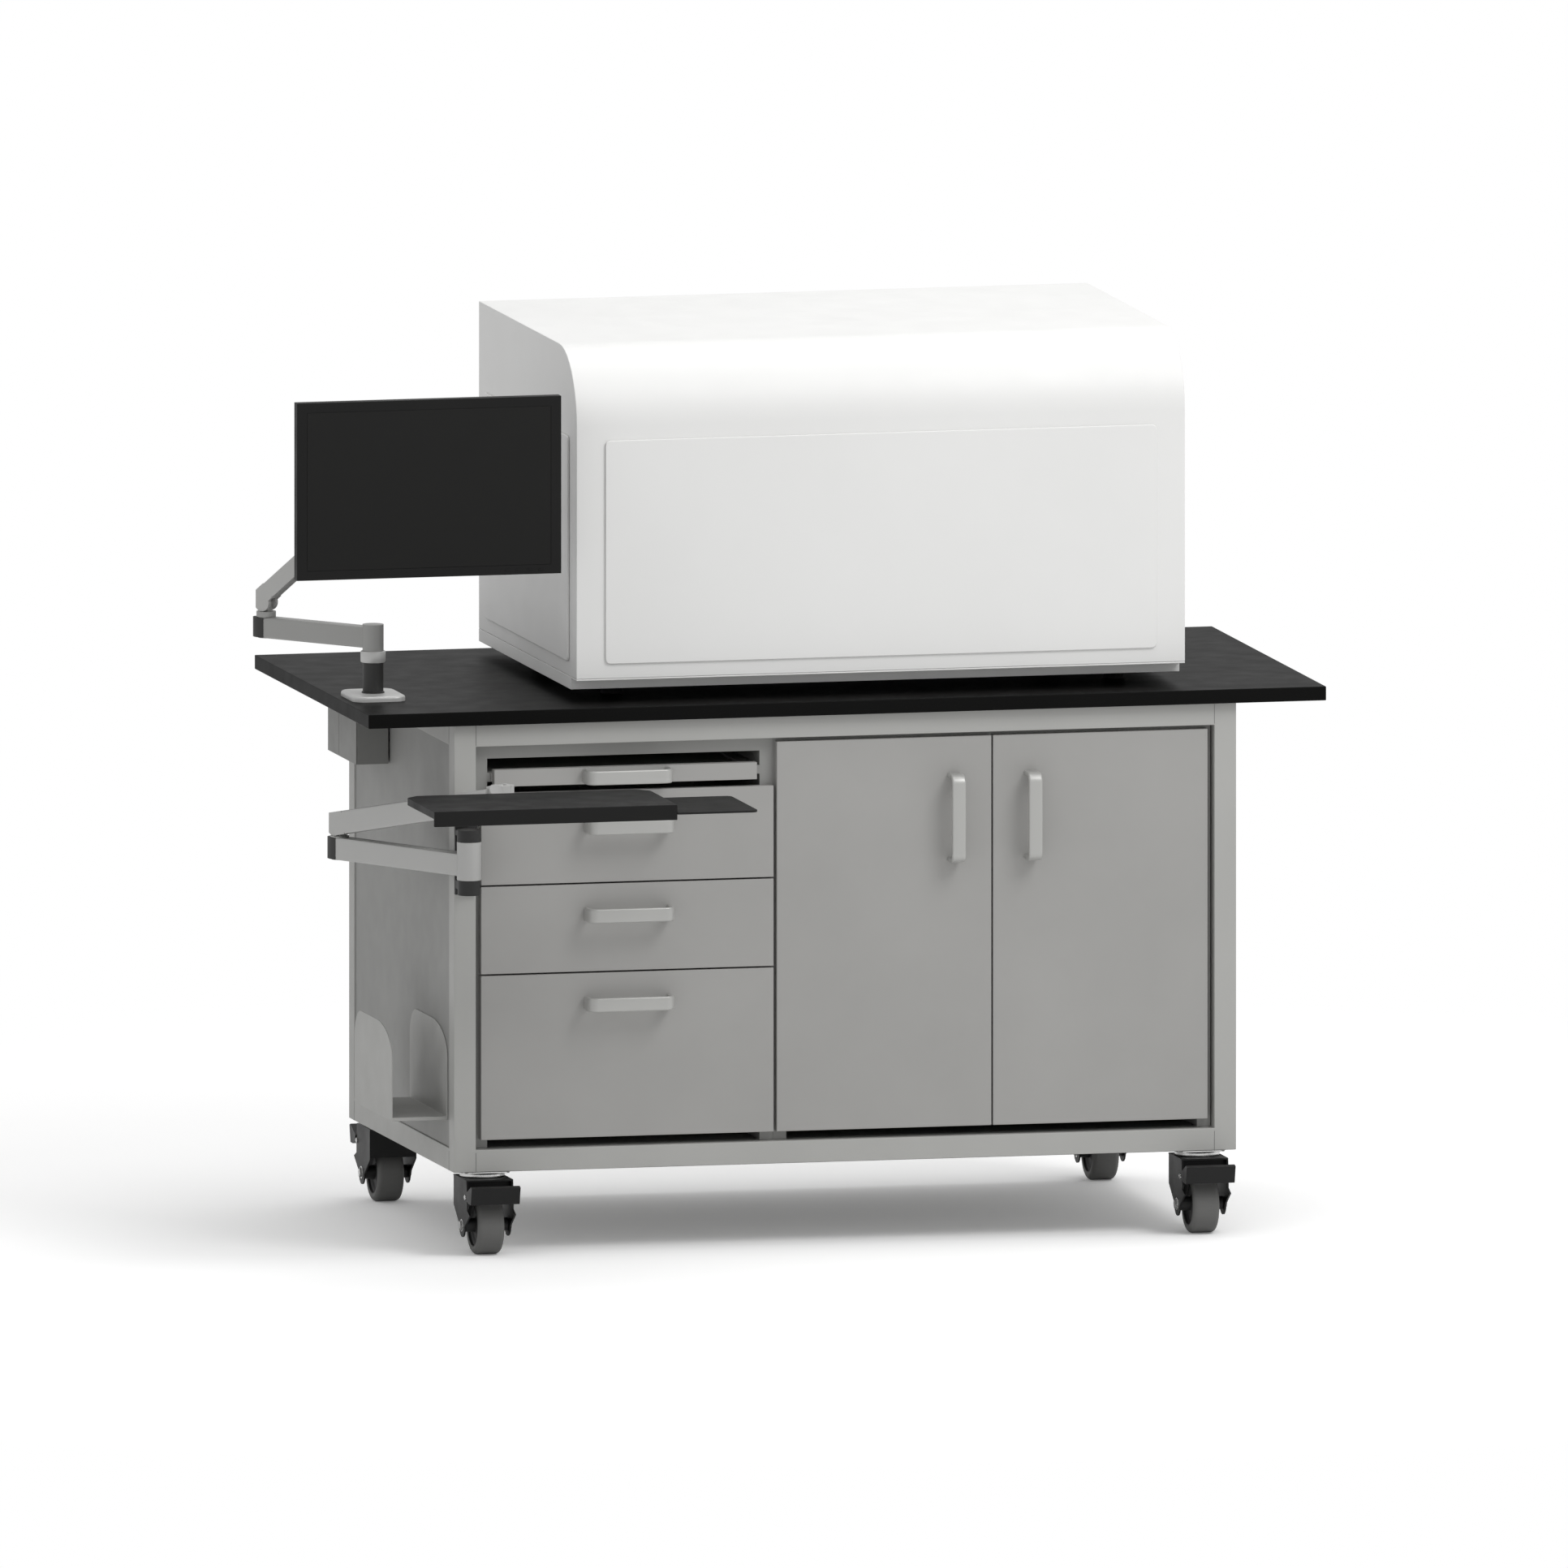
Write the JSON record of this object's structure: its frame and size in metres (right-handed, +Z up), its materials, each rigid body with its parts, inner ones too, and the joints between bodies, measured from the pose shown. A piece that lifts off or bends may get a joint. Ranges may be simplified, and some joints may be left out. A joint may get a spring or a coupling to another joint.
{
  "type": "laboratory bench",
  "caption": "Mobile laboratory bench on braked casters with drawers, cupboard doors, an instrument enclosure, a monitor arm and a keyboard tray arm.",
  "frame": {"origin": "on the floor, under the middle of the whole outline with the monitor and the keyboard tray out", "axes": "+X to the user's right along the bench, +Y from the drawer fronts to the back, +Z up"},
  "size_m": [1.9336, 1.3654, 1.6526],
  "materials": {
    "frame_grey": "light warm grey powder coat on welded square tube",
    "front_grey": "matte mid grey laminate on drawer fronts and doors",
    "panel_grey": "matte grey laminate on side and rear panels",
    "board_grey": "light grey laminate on cabinet boards and drawer boxes",
    "worktop_black": "dark chemical-resistant resin worktop, satin",
    "handle_satin": "satin silver bow handles",
    "enclosure_white": "off-white smooth powder coat",
    "arm_silver": "silver-grey painted die castings",
    "black_plastic": "black moulded plastic",
    "caster_black": "black painted pressed steel",
    "tread_grey": "dark grey non-marking tread",
    "screen_glass": "dark glossy screen"
  },
  "bodies": {
    "root": {"access_panel_front": "enclosure_white", "access_panel_left": "enclosure_white", "access_panel_right": "enclosure_white", "computer_holder": "frame_grey", "cupboard_shelf": "board_grey", "cupboard_unit": "board_grey", "drawer_unit": "board_grey", "enclosure_base": "enclosure_white", "enclosure_cover": "enclosure_white", "frame": "frame_grey", "keyboard_arm_bracket": "black_plastic", "monitor_arm_base": "arm_silver", "outlet_box": "frame_grey", "outlet_box_lid": "frame_grey", "rear_panel": "panel_grey", "side_panel_left": "panel_grey", "side_panel_right": "panel_grey", "worktop": "worktop_black"},
    "drawer_top": {"drawer_top_box": "board_grey", "drawer_top_front": "front_grey", "drawer_top_handle": "handle_satin"},
    "drawer_middle": {"drawer_middle_box": "board_grey", "drawer_middle_front": "front_grey", "drawer_middle_handle": "handle_satin"},
    "drawer_bottom": {"drawer_bottom_box": "board_grey", "drawer_bottom_front": "front_grey", "drawer_bottom_handle": "handle_satin"},
    "pullout": {"pullout_shelf": "front_grey", "pullout_handle": "handle_satin"},
    "door_left": {"door_left": "front_grey", "door_left_handle": "handle_satin"},
    "door_right": {"door_right": "front_grey", "door_right_handle": "handle_satin"},
    "monitor_lower": {"monitor_lower_arm": "arm_silver"},
    "monitor_elbow": {"monitor_elbow": "arm_silver"},
    "monitor_upper": {"monitor_upper_arm": "arm_silver"},
    "monitor_head": {"monitor_head": "arm_silver"},
    "monitor_yoke": {"monitor_yoke": "black_plastic"},
    "monitor": {"monitor_housing": "black_plastic", "monitor_screen": "screen_glass"},
    "keyboard_lower": {"keyboard_lower_arm": "arm_silver"},
    "keyboard_elbow": {"keyboard_elbow": "arm_silver"},
    "keyboard_upper": {"keyboard_upper_arm": "arm_silver"},
    "keyboard_head": {"keyboard_head": "arm_silver"},
    "keyboard_tray": {"keyboard_tray": "black_plastic"},
    "mouse_platform": {"mouse_platform": "black_plastic"},
    "fork_front_left": {"caster_fork_front_left": "caster_black"},
    "wheel_front_left": {"caster_wheel_front_left": "tread_grey"},
    "pedal_front_left": {"caster_pedal_front_left": "caster_black"},
    "fork_front_right": {"caster_fork_front_right": "caster_black"},
    "wheel_front_right": {"caster_wheel_front_right": "tread_grey"},
    "pedal_front_right": {"caster_pedal_front_right": "caster_black"},
    "fork_rear_left": {"caster_fork_rear_left": "caster_black"},
    "wheel_rear_left": {"caster_wheel_rear_left": "tread_grey"},
    "pedal_rear_left": {"caster_pedal_rear_left": "caster_black"},
    "fork_rear_right": {"caster_fork_rear_right": "caster_black"},
    "wheel_rear_right": {"caster_wheel_rear_right": "tread_grey"},
    "pedal_rear_right": {"caster_pedal_rear_right": "caster_black"}
  },
  "joints": [
    {"name": "pullout_slide", "type": "slide", "parent": "root", "child": "pullout", "axis": [0, -1, 0], "range_m": [0, 0.15]},
    {"name": "drawer_top_slide", "type": "slide", "parent": "root", "child": "drawer_top", "axis": [0, -1, 0], "range_m": [0, 0.3]},
    {"name": "drawer_middle_slide", "type": "slide", "parent": "root", "child": "drawer_middle", "axis": [0, -1, 0], "range_m": [0, 0.3]},
    {"name": "drawer_bottom_slide", "type": "slide", "parent": "root", "child": "drawer_bottom", "axis": [0, -1, 0], "range_m": [0, 0.3]},
    {"name": "door_left_hinge", "type": "hinge", "parent": "root", "child": "door_left", "pos_m": [-0.05622, -0.20527, 0.211], "axis": [0, 0, -1], "range_deg": [0, 90]},
    {"name": "door_right_hinge", "type": "hinge", "parent": "root", "child": "door_right", "pos_m": [0.74558, -0.20527, 0.211], "axis": [0, 0, 1], "range_deg": [0, 90]},
    {"name": "monitor_swivel", "type": "hinge", "parent": "root", "child": "monitor_lower", "pos_m": [-0.76822, 0.00473, 1.092], "axis": [0, 0, 1], "range_deg": [-70, 8]},
    {"name": "monitor_elbow_swivel", "type": "hinge", "parent": "monitor_lower", "child": "monitor_elbow", "pos_m": [-0.92333, 0.19696, 1.1624], "axis": [0, 0, 1], "range_deg": [-60, 0]},
    {"name": "monitor_lift", "type": "hinge", "parent": "monitor_elbow", "child": "monitor_upper", "pos_m": [-0.92333, 0.19696, 1.1624], "axis": [-0.7547, -0.6561, 0], "range_deg": [-12, 20]},
    {"name": "monitor_level", "type": "hinge", "parent": "monitor_upper", "child": "monitor_head", "pos_m": [-0.71848, -0.0387, 1.41797], "axis": [-0.7547, -0.6561, 0], "range_deg": [-20.5, 12.5]},
    {"name": "monitor_pan", "type": "hinge", "parent": "monitor_head", "child": "monitor_yoke", "pos_m": [-0.71848, -0.1047, 1.41797], "axis": [0, 0, 1], "range_deg": [-45, 45]},
    {"name": "monitor_tilt", "type": "hinge", "parent": "monitor_yoke", "child": "monitor", "pos_m": [-0.71848, -0.1497, 1.41797], "axis": [1, 0, 0], "range_deg": [-15, 15]},
    {"name": "keyboard_swivel", "type": "hinge", "parent": "root", "child": "keyboard_lower", "pos_m": [-0.65482, -0.27727, 0.7009], "axis": [0, 0, 1], "range_deg": [0, 20]},
    {"name": "keyboard_elbow_swivel", "type": "hinge", "parent": "keyboard_lower", "child": "keyboard_elbow", "pos_m": [-0.82677, 0.02298, 0.77325], "axis": [0, 0, 1], "range_deg": [-90, 0]},
    {"name": "keyboard_lift", "type": "hinge", "parent": "keyboard_elbow", "child": "keyboard_upper", "pos_m": [-0.82677, 0.02298, 0.77325], "axis": [-0.9014, -0.433, 0], "range_deg": [-3, 20]},
    {"name": "keyboard_level", "type": "hinge", "parent": "keyboard_upper", "child": "keyboard_head", "pos_m": [-0.62659, -0.39373, 0.88236], "axis": [-0.9014, -0.433, 0], "range_deg": [-20.5, 5.5]},
    {"name": "tray_swivel", "type": "hinge", "parent": "keyboard_head", "child": "keyboard_tray", "pos_m": [-0.58809, -0.48773, 0.86616], "axis": [0, 0, 1], "range_deg": [-10, 10]},
    {"name": "platform_slide", "type": "slide", "parent": "keyboard_tray", "child": "mouse_platform", "axis": [1, 0, 0], "range_m": [0, 0.08]},
    {"name": "caster_swivel_front_left", "type": "hinge", "parent": "root", "child": "fork_front_left", "pos_m": [-0.60522, -0.17127, 0], "axis": [0, 0, 1], "continuous": true},
    {"name": "caster_roll_front_left", "type": "hinge", "parent": "fork_front_left", "child": "wheel_front_left", "pos_m": [-0.60522, -0.19627, 0.054], "axis": [1, 0, 0], "continuous": true},
    {"name": "caster_brake_front_left", "type": "hinge", "parent": "fork_front_left", "child": "pedal_front_left", "pos_m": [-0.60522, -0.22827, 0.109], "axis": [1, 0, 0], "range_deg": [0, 12]},
    {"name": "caster_swivel_front_right", "type": "hinge", "parent": "root", "child": "fork_front_right", "pos_m": [0.73878, -0.17127, 0], "axis": [0, 0, 1], "continuous": true},
    {"name": "caster_roll_front_right", "type": "hinge", "parent": "fork_front_right", "child": "wheel_front_right", "pos_m": [0.73878, -0.19627, 0.054], "axis": [1, 0, 0], "continuous": true},
    {"name": "caster_brake_front_right", "type": "hinge", "parent": "fork_front_right", "child": "pedal_front_right", "pos_m": [0.73878, -0.22827, 0.109], "axis": [1, 0, 0], "range_deg": [0, 12]},
    {"name": "caster_swivel_rear_left", "type": "hinge", "parent": "root", "child": "fork_rear_left", "pos_m": [-0.60522, 0.57073, 0], "axis": [0, 0, 1], "continuous": true},
    {"name": "caster_roll_rear_left", "type": "hinge", "parent": "fork_rear_left", "child": "wheel_rear_left", "pos_m": [-0.60522, 0.59573, 0.054], "axis": [1, 0, 0], "continuous": true},
    {"name": "caster_brake_rear_left", "type": "hinge", "parent": "fork_rear_left", "child": "pedal_rear_left", "pos_m": [-0.60522, 0.62773, 0.109], "axis": [-1, 0, 0], "range_deg": [0, 12]},
    {"name": "caster_swivel_rear_right", "type": "hinge", "parent": "root", "child": "fork_rear_right", "pos_m": [0.73878, 0.57073, 0], "axis": [0, 0, 1], "continuous": true},
    {"name": "caster_roll_rear_right", "type": "hinge", "parent": "fork_rear_right", "child": "wheel_rear_right", "pos_m": [0.73878, 0.59573, 0.054], "axis": [1, 0, 0], "continuous": true},
    {"name": "caster_brake_rear_right", "type": "hinge", "parent": "fork_rear_right", "child": "pedal_rear_right", "pos_m": [0.73878, 0.62773, 0.109], "axis": [-1, 0, 0], "range_deg": [0, 12]}
  ],
  "couplings": [
    {"joint": "monitor_level", "follows": "monitor_lift", "ratio": -1},
    {"joint": "keyboard_level", "follows": "keyboard_lift", "ratio": -1}
  ]
}
